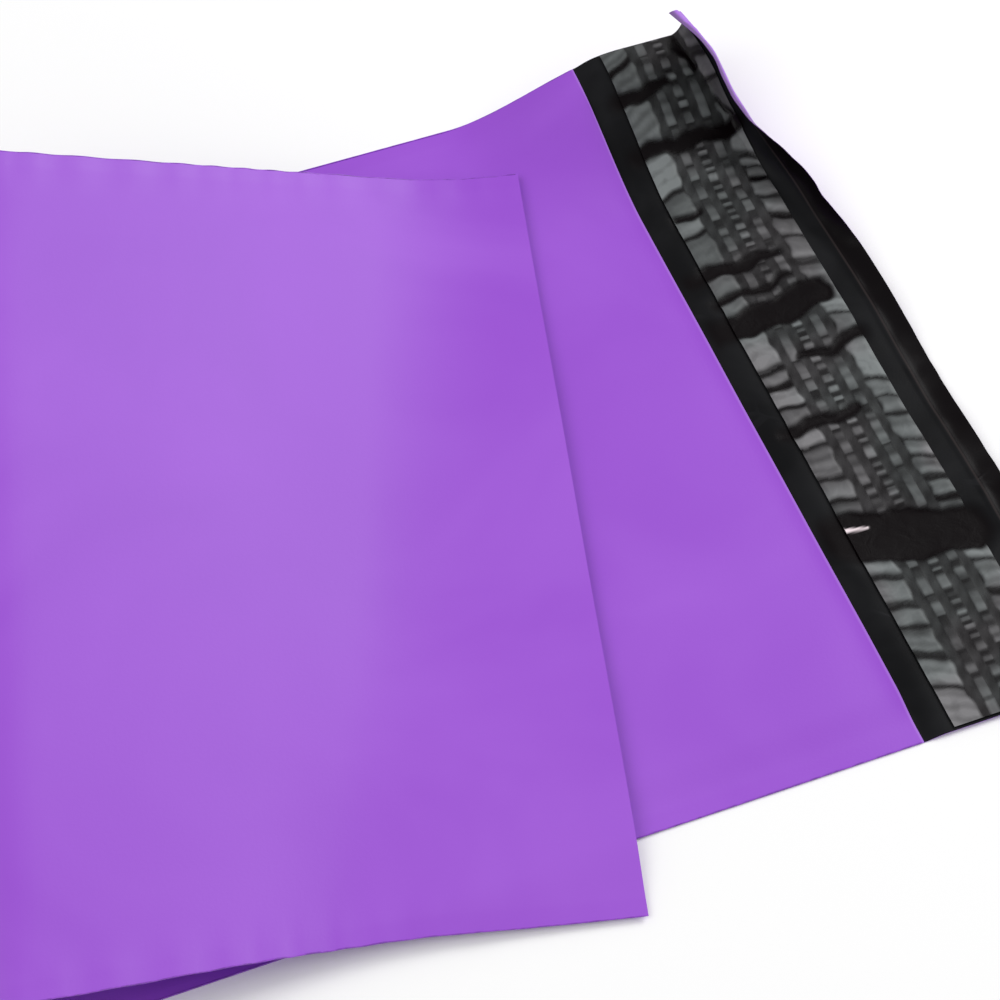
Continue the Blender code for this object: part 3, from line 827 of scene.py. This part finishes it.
def grown(name, source, tree, settings):
    """The tree's result on the source mesh as a plain mesh object; the source is removed."""
    modifier = source.modifiers.new("grow", "NODES")
    modifier.node_group = tree
    sockets = {item.name: item.identifier for item in tree.interface.items_tree if item.in_out == "INPUT"}
    for key, value in settings.items():
        modifier[sockets[key]] = value
    bpy.context.view_layer.update()
    evaluated = source.evaluated_get(bpy.context.evaluated_depsgraph_get())
    mesh = bpy.data.meshes.new_from_object(evaluated)
    source.modifiers.remove(modifier)
    bpy.data.objects.remove(source)
    mesh.name = name
    return placed(name, mesh)


def path_mesh(name, lines):
    """Polylines as a mesh of edges, each vertex with the direction away from the film."""
    points, ups, edges = [], [], []
    for line, up in lines:
        first = len(points)
        points += line.tolist()
        ups += up.tolist()
        edges += [(first + i, first + i + 1) for i in range(len(line) - 1)]
    mesh = bpy.data.meshes.new(name)
    mesh.from_pydata(points, edges, [])
    attribute = mesh.attributes.new("up", "FLOAT_VECTOR", "POINT")
    attribute.data.foreach_set("vector", np.array(ups, np.float32).ravel())
    return placed(name, mesh)


GLUE_STEP = 0.0009
GLUE_RIPPLE = {"Ripple": 0.35, "Ripple Pitch": 0.009, "Seed": 3.0, "Sides": 12}
WELD_BEAD = 0.00034
WELD_INSET = 0.3
WELD_LEAST_HEIGHT = 0.62
WELD_ENDS = (0.0006, 0.0005)
WELD_STEP = 0.0013
WELD_RIPPLE = {"Ripple": 0.5, "Ripple Pitch": 0.0024, "Seed": 7.0, "Sides": 6}


def build_glue(tree, material):
    """Four parallel beads of hot-melt glue on the flap."""
    reach = HALF_WIDTH - GLUE_END_INSET
    v_places = np.array(stations(-reach, reach, GLUE_STEP))
    lines = []
    for number in range(GLUE_COUNT):
        middle = GLUE_START + number * GLUE_PITCH + GLUE_STRIPE / 2.0
        lift = np.full((1, len(v_places)), FILM + GLUE_HEIGHT / 2.0)
        line, up = strip_points([middle], v_places, lift)
        lines.append((line[0], up[0]))
    settings = {"Width": GLUE_STRIPE, "Height": GLUE_HEIGHT, "Material": material, **GLUE_RIPPLE}
    return grown("glue_beads", path_mesh("glue_paths", lines), tree, settings)


def build_welds(tree, material):
    """The fused bead that the sealing knife leaves along both sides of the pouch."""
    places = stations(WELD_ENDS[0], POCKET_DEPTH - WELD_ENDS[1], WELD_STEP)
    lines = []
    for side in (-1.0, 1.0):
        v = np.array([side * (HALF_WIDTH - WELD_BEAD * WELD_INSET)])
        rows = [body_row(s, v) for s in places]
        points = np.array([row[0][0] for row in rows])
        up = np.array([row[1][0] for row in rows])
        points = points + up * FILM
        points[:, 2] = np.maximum(points[:, 2], WELD_BEAD * WELD_LEAST_HEIGHT)
        lines.append((points, up))
    settings = {"Width": WELD_BEAD, "Height": WELD_BEAD, "Material": material, **WELD_RIPPLE}
    return grown("weld_beads", path_mesh("weld_paths", lines), tree, settings)


# Materials

PURPLE = (0.326, 0.076, 0.660, 1.0)
PURPLE_DEEP = (0.296, 0.063, 0.618, 1.0)
PURPLE_PALE = (0.357, 0.100, 0.695, 1.0)
BLACK = (0.0050, 0.0051, 0.0060, 1.0)
BLACK_WORN = (0.0100, 0.0102, 0.0116, 1.0)
BLACK_SCUFFED = (0.030, 0.030, 0.034, 1.0)
# Painted shade: the near-black of the folds, of the lip beyond its crease and of the liner's darkest places
PAINTED_SHADE_BLACK = (0.0026, 0.0012, 0.0018, 1.0)
LIP_LINE = (0.040, 0.031, 0.031, 1.0)
WELD_PURPLE = (0.20, 0.05, 0.42, 1.0)
LINER_PALE = (0.206, 0.223, 0.225, 1.0)
LINER_WARM = (0.215, 0.211, 0.219, 1.0)
# Painted glint on a small ridge of the liner
LINER_PAINTED_GLINT = (0.95, 0.82, 0.86, 1.0)
# Painted highlight along the mouth's cut edge
MOUTH_EDGE_HIGHLIGHT = (0.470, 0.240, 0.780, 1.0)
# Painted shade along the flap's free edge
FREE_EDGE_SHADE = (0.060, 0.014, 0.105, 1.0)
GLUE_TEAL = (0.026, 0.036, 0.037, 1.0)
GLUE_DARK = (0.016, 0.023, 0.024, 1.0)
# Distances over which the colours ease, in metres, and the depths of the fine relief
MOUTH_HIGHLIGHT_BAND = (0.0002, 0.0007)
FREE_EDGE_SHADE_BAND = (0.0010, 0.0032)
WELD_EDGE_EASE = 0.0010
LIP_BAND_EASE = 0.0004
LIP_LINE_BAND = (0.0001, 0.0004)
FILM_RELIEF = 0.00028
LINER_RELIEF = 0.00025
BEAD_RELIEF = 0.0002


# The colour sockets of a Mix node: the two colours going in and the one coming out
MIX_FIRST = 6
MIX_SECOND = 7
MIX_RESULT = 2
STREAK_STRETCH = (0.16, 1.0, 1.0)
SCUFF_BEND = (0.02, 0.02, 0.0)


def group_tree(name, numbers, results):
    """A node group that takes a vector and some numbers, and gives out numbers."""
    tree = bpy.data.node_groups.new(name, "ShaderNodeTree")
    new_socket(tree, "Vector", "NodeSocketVector")
    for label, default in numbers.items():
        new_socket(tree, label, "NodeSocketFloat", default)
    for label in results:
        new_socket(tree, label, "NodeSocketFloat", output=True)
    return tree, tree.nodes.new("NodeGroupInput").outputs, tree.nodes.new("NodeGroupOutput").inputs


def noise_node(tree, vector, scale, detail=2.0, rough=0.5, distort=0.0):
    fed = {"Vector": vector, "Scale": scale, "Detail": detail, "Roughness": rough, "Distortion": distort}
    return added(tree, "ShaderNodeTexNoise", fed).outputs["Fac"]


def apart(tree, value, place):
    """How far the value is from a place, either way."""
    return math_node(tree, "ABSOLUTE", math_node(tree, "SUBTRACT", value, place))


def ramped(tree, value, low, high, to_low=0.0, to_high=1.0):
    """The value from low to high mapped to a smooth step between two numbers."""
    fed = dict(enumerate((value, low, high, to_low, to_high)))
    return added(tree, "ShaderNodeMapRange", fed, interpolation_type="SMOOTHSTEP").outputs[0]


def blended(tree, share, first, second):
    fed = {0: share, MIX_FIRST: first, MIX_SECOND: second}
    return added(tree, "ShaderNodeMix", fed, data_type="RGBA").outputs[MIX_RESULT]


def film_unevenness():
    """Group: the cloudiness of blown film and its fine grain, for every film of the bag."""
    numbers = {"Cloud Scale": 20.0, "Grain Scale": 900.0}
    tree, given, result = group_tree("film_unevenness", numbers, ("Cloud", "Streak", "Relief"))
    vector, scale = given["Vector"], given["Cloud Scale"]
    cloud = noise_node(tree, vector, scale, 3.0, 0.55, 0.6)
    stretch = added(tree, "ShaderNodeMapping", {"Vector": vector, "Scale": STREAK_STRETCH})
    streak = noise_node(tree, stretch.outputs["Vector"], scale, 4.0, 0.6, 0.2)
    grain = noise_node(tree, vector, given["Grain Scale"])
    relief = math_node(tree, "MULTIPLY_ADD", grain, 0.12, math_node(tree, "MULTIPLY", cloud, 0.88))
    for label, value in (("Cloud", cloud), ("Streak", streak), ("Relief", relief)):
        tree.links.new(value, result[label])
    return tree


def film_scuffs():
    """Group: faint scuff lines and pressed creases, as a mask and a height."""
    tree, given, result = group_tree("film_scuffs", {"Scale": 60.0, "Width": 0.02}, ("Mask", "Height"))
    vector, width = given["Vector"], given["Width"]
    bend = noise_node(tree, vector, 30.0)
    bends = added(tree, "ShaderNodeCombineXYZ", {"X": bend, "Y": bend}).outputs["Vector"]
    fed = {0: bends, 1: SCUFF_BEND, 2: vector}
    bent = added(tree, "ShaderNodeVectorMath", fed, operation="MULTIPLY_ADD").outputs["Vector"]
    fed = {"Vector": bent, "Scale": given["Scale"]}
    cells = added(tree, "ShaderNodeTexVoronoi", fed, feature="DISTANCE_TO_EDGE").outputs["Distance"]
    line = math_node(tree, "LESS_THAN", cells, width)
    ridge = math_node(tree, "SUBTRACT", 1.0, math_node(tree, "DIVIDE", cells, width, clamp=True))
    rare = ramped(tree, noise_node(tree, vector, 26.0), 0.56, 0.68)
    tree.links.new(math_node(tree, "MULTIPLY", line, rare), result["Mask"])
    tree.links.new(math_node(tree, "MULTIPLY", ridge, rare), result["Height"])
    return tree


class Finish:
    """A material under way: its tree and its shader."""

    def __init__(self, name, specular, viewport):
        self.material = bpy.data.materials.new(name)
        self.material.use_nodes = True
        self.material.diffuse_color = viewport
        self.tree = self.material.node_tree
        self.shader = self.tree.nodes["Principled BSDF"]
        self.shader.inputs["Specular IOR Level"].default_value = specular
        self.shader.inputs["Metallic"].default_value = 0.0

    def flat(self):
        """Places on the flat film in metres, from the flap's free edge and the front side."""
        uv = added(self.tree, "ShaderNodeUVMap", uv_map="flat").outputs["UV"]
        fed = {0: uv, 1: (FLAT_SCALE, FLAT_SCALE, 1.0)}
        return added(self.tree, "ShaderNodeVectorMath", fed, operation="MULTIPLY").outputs["Vector"]

    def flat_places(self, flat):
        """The places along and across the flat film, apart."""
        return added(self.tree, "ShaderNodeSeparateXYZ", {"Vector": flat}).outputs[:2]

    def group(self, tree, **values):
        fed = {name.replace("_", " "): value for name, value in values.items()}
        return added(self.tree, "ShaderNodeGroup", fed, node_tree=tree).outputs

    def attribute(self, name):
        return added(self.tree, "ShaderNodeAttribute", attribute_name=name).outputs["Fac"]

    def bump(self, height, distance, strength):
        fed = {"Height": height, "Distance": distance, "Strength": strength}
        self.feed("Normal", added(self.tree, "ShaderNodeBump", fed).outputs["Normal"])

    def feed(self, socket, value):
        self.tree.links.new(value, self.shader.inputs[socket])


def purple_film(unevenness):
    """Satin polyethylene, faintly cloudy, with a painted highlight along the mouth's edge and painted shade
    at the flap's free edge.
    """
    made = Finish("purple_film", 0.42, PURPLE)
    tree, flat = made.tree, made.flat()
    uneven = made.group(unevenness, Vector=flat, Cloud_Scale=14.0, Grain_Scale=1400.0)
    deep_or_pale = blended(tree, ramped(tree, uneven["Cloud"], 0.28, 0.72), PURPLE_DEEP, PURPLE_PALE)
    streaked = blended(tree, ramped(tree, uneven["Streak"], 0.35, 0.70, 0.25, 0.75), deep_or_pale, PURPLE)
    along, across = made.flat_places(flat)
    seam = HALF_WIDTH - SEAM_WIDTH
    weld = ramped(tree, apart(tree, across, HALF_WIDTH), seam - WELD_EDGE_EASE, seam + WELD_EDGE_EASE)
    coloured = blended(tree, math_node(tree, "MULTIPLY", weld, 0.12), streaked, PURPLE_DEEP)
    # Painted highlight along the mouth's cut edge
    cut = ramped(tree, apart(tree, along, FLAP_LENGTH), *MOUTH_HIGHLIGHT_BAND, 0.45, 0.0)
    # Painted shade along the flap's free edge
    rim = ramped(tree, along, *FREE_EDGE_SHADE_BAND, 0.80, 0.0)
    free_edge_shaded = blended(tree, rim, coloured, FREE_EDGE_SHADE)
    made.feed("Base Color", blended(tree, cut, free_edge_shaded, MOUTH_EDGE_HIGHLIGHT))
    rough = ramped(tree, uneven["Cloud"], 0.3, 0.7, 0.40, 0.47)
    made.feed("Roughness", math_node(tree, "MULTIPLY_ADD", weld, -0.05, rough))
    made.bump(uneven["Relief"], FILM_RELIEF, 0.45)
    return made.material


def black_film(unevenness, scuffs):
    """The film's inner side: carbon black, satin, with painted shade in the folds and beyond the lip
    crease, and worn pale in streaks.
    """
    made = Finish("black_film", 0.08, BLACK)
    tree, flat = made.tree, made.flat()
    uneven = made.group(unevenness, Vector=flat, Cloud_Scale=45.0, Grain_Scale=1800.0)
    scuffed = made.group(scuffs, Vector=flat, Scale=70.0, Width=0.03)
    # The folds' painted shade
    fold_shade = made.attribute("fold_shade")
    plain = blended(tree, ramped(tree, uneven["Cloud"], 0.35, 0.70), BLACK, BLACK_WORN)
    scuffed_black = blended(tree, math_node(tree, "MULTIPLY", scuffed["Mask"], 0.3), plain, BLACK_SCUFFED)
    along, _ = made.flat_places(flat)
    crease = FLAP_LENGTH - LIP_CREASE
    # Painted shade over the lip beyond its crease, joined with the folds' painted shade
    beyond = ramped(tree, along, crease - LIP_BAND_EASE, crease + LIP_BAND_EASE, 0.85, 0.0)
    shaded = blended(tree, math_node(tree, "MAXIMUM", fold_shade, beyond), scuffed_black, PAINTED_SHADE_BLACK)
    line = ramped(tree, apart(tree, along, crease), *LIP_LINE_BAND, 0.5, 0.0)
    made.feed("Base Color", blended(tree, line, shaded, LIP_LINE))
    made.feed("Roughness", ramped(tree, uneven["Cloud"], 0.3, 0.7, 0.32, 0.42))
    made.bump(math_node(tree, "MULTIPLY_ADD", scuffed["Height"], 0.5, uneven["Relief"]), FILM_RELIEF, 0.5)
    return made.material


def clear_liner(unevenness):
    """Siliconised film: milky where it stands dry over the flap, clear where the glue wets it, with painted
    light and shade from its paleness.
    """
    made = Finish("release_liner_film", 0.08, LINER_PALE)
    tree, flat = made.tree, made.flat()
    uneven = made.group(unevenness, Vector=flat, Cloud_Scale=210.0, Grain_Scale=2600.0)
    patches = noise_node(tree, flat, 42.0, 1.0)
    pale = made.attribute("pale")
    milky = blended(tree, ramped(tree, patches, 0.42, 0.58), LINER_PALE, LINER_WARM)
    clouds = ramped(tree, uneven["Cloud"], 0.25, 0.75, 0.78, 1.18)
    # The paleness is partly the liner's own, dry or wetted by the glue, and partly painted light and shade;
    # it runs from the painted shade black to milky
    broken = math_node(tree, "MULTIPLY", pale, clouds, clamp=True)
    tinted = blended(tree, broken, PAINTED_SHADE_BLACK, milky)
    # Painted glint on the liner
    made.feed("Base Color", blended(tree, made.attribute("painted_glint"), tinted, LINER_PAINTED_GLINT))
    clear = ramped(tree, pale, 0.1, 0.4, 0.80, 0.96)
    # The liner turns opaque in the folds, so that their painted shade shows
    made.feed("Alpha", math_node(tree, "MAXIMUM", clear, made.attribute("fold_shade")))
    made.feed("Roughness", ramped(tree, uneven["Cloud"], 0.3, 0.7, 0.30, 0.40))
    made.bump(uneven["Relief"], LINER_RELIEF, 0.5)
    return made.material


def bead_finish(unevenness, name, specular, viewport, scales, tones, rough, strength):
    """A glossy bead in two cloudy tones, smoother in streaks."""
    made = Finish(name, specular, viewport)
    vector = made.tree.nodes.new("ShaderNodeTexCoord").outputs["Object"]
    uneven = made.group(unevenness, Vector=vector, Cloud_Scale=scales[0], Grain_Scale=scales[1])
    made.feed("Base Color", blended(made.tree, ramped(made.tree, uneven["Cloud"], 0.3, 0.7), *tones))
    made.feed("Roughness", ramped(made.tree, uneven["Streak"], 0.3, 0.7, *rough))
    made.bump(uneven["Relief"], BEAD_RELIEF, strength)
    return made.material


# Dark glossy glue, slightly stringy, and the fused side edges, a deeper and glossier purple than the film:
# name, specular level, viewport colour, cloud and grain scale, two tones, roughness and relief
HOT_MELT = ("hot_melt_glue", 0.5, GLUE_TEAL, (380.0, 2200.0), (GLUE_DARK, GLUE_TEAL), (0.18, 0.32), 0.6)
WELDED_EDGE = ("welded_edge", 0.45, PURPLE_DEEP, (420.0, 2400.0), (WELD_PURPLE, PURPLE), (0.25, 0.40), 0.5)


# The bag

unevenness = film_unevenness()
scuffs = film_scuffs()
beads = bead_tree()

film = build_film(purple_film(unevenness), black_film(unevenness, scuffs))
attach(film, "root")
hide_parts("mailer_film")

glue = build_glue(beads, bead_finish(unevenness, *HOT_MELT))
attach(glue, "root")
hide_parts("glue_stripe_1", "glue_stripe_2", "glue_stripe_3", "glue_stripe_4")

liner = build_liner(clear_liner(unevenness))
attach(liner, "root")
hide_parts("release_liner")

welds = build_welds(beads, bead_finish(unevenness, *WELDED_EDGE))
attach(welds, "root")

# Floor, light and camera

FLOOR_SIZE = 8.0
FLOOR_WHITE = (0.96, 0.96, 0.96, 1.0)
FLOOR_LIFT = 0.03
FLOOR_DROP = 0.0001
WORLD_LEVEL = 0.52
SOFTBOX_SIZE = 0.9
LIT_PLACE = (-0.06, 0.0, 0.0)
# The place and the power of each softbox
SOFTBOXES = {"key_softbox": ((1.05, 0.42, 0.98), 13.5), "fill_softbox": ((-0.95, -0.20, 1.10), 5.0)}
CLIP = (0.01, 50.0)


def build_floor():
    mesh = bpy.data.meshes.new("floor")
    half = FLOOR_SIZE / 2.0
    corners = [(-half, -half, 0.0), (half, -half, 0.0), (half, half, 0.0), (-half, half, 0.0)]
    mesh.from_pydata(corners, [], [(0, 1, 2, 3)])
    material = bpy.data.materials.new("pale_floor")
    material.use_nodes = True
    tree = material.node_tree
    shader = tree.nodes["Principled BSDF"]
    shader.inputs["Base Color"].default_value = FLOOR_WHITE
    shader.inputs["Roughness"].default_value = 0.9
    shader.inputs["Specular IOR Level"].default_value = 0.0
    shader.inputs["Emission Color"].default_value = (1.0, 1.0, 1.0, 1.0)
    seen = tree.nodes.new("ShaderNodeLightPath").outputs
    mirrored = math_node(tree, "ADD", seen["Is Glossy Ray"], seen["Is Transmission Ray"])
    direct = math_node(tree, "ADD", seen["Is Camera Ray"], mirrored, clamp=True)
    lift = math_node(tree, "MULTIPLY", direct, FLOOR_LIFT)
    tree.links.new(lift, shader.inputs["Emission Strength"])
    mesh.materials.append(material)
    floor = placed("floor", mesh)
    floor.location = (0.0, 0.0, -FLOOR_DROP)
    return floor


def softbox(name, place, power):
    light = bpy.data.lights.new(name, "AREA")
    light.shape = "SQUARE"
    light.size = SOFTBOX_SIZE
    light.energy = power
    lamp = placed(name, light)
    lamp.location = place
    lamp.rotation_mode = "QUATERNION"
    lamp.rotation_quaternion = (Vector(LIT_PLACE) - Vector(place)).to_track_quat("-Z", "Y")


build_floor()
for name, (place, power) in SOFTBOXES.items():
    softbox(name, place, power)

world = bpy.data.worlds.new("studio")
world.use_nodes = True
background = world.node_tree.nodes["Background"]
background.inputs["Color"].default_value = (1.0, 1.0, 1.0, 1.0)
background.inputs["Strength"].default_value = WORLD_LEVEL
bpy.context.scene.world = world

camera_data = bpy.data.cameras.new("camera")
camera_data.sensor_width = SENSOR
camera_data.lens = VIEW_LENS
camera_data.clip_start, camera_data.clip_end = CLIP
camera = placed("camera", camera_data)
level = math.cos(VIEW_ELEVATION)
looking = Vector((level * math.sin(VIEW_TURN), level * math.cos(VIEW_TURN), -math.sin(VIEW_ELEVATION)))
sideways = Vector((math.cos(VIEW_TURN), -math.sin(VIEW_TURN), 0.0))
upwards = sideways.cross(looking)
turned = Matrix((sideways, upwards, -looking)).transposed().to_4x4()
camera.matrix_world = Matrix.Translation(VIEW_TARGET - looking * VIEW_DISTANCE) @ turned
bpy.context.scene.camera = camera
bpy.context.scene.view_settings.view_transform = "Standard"
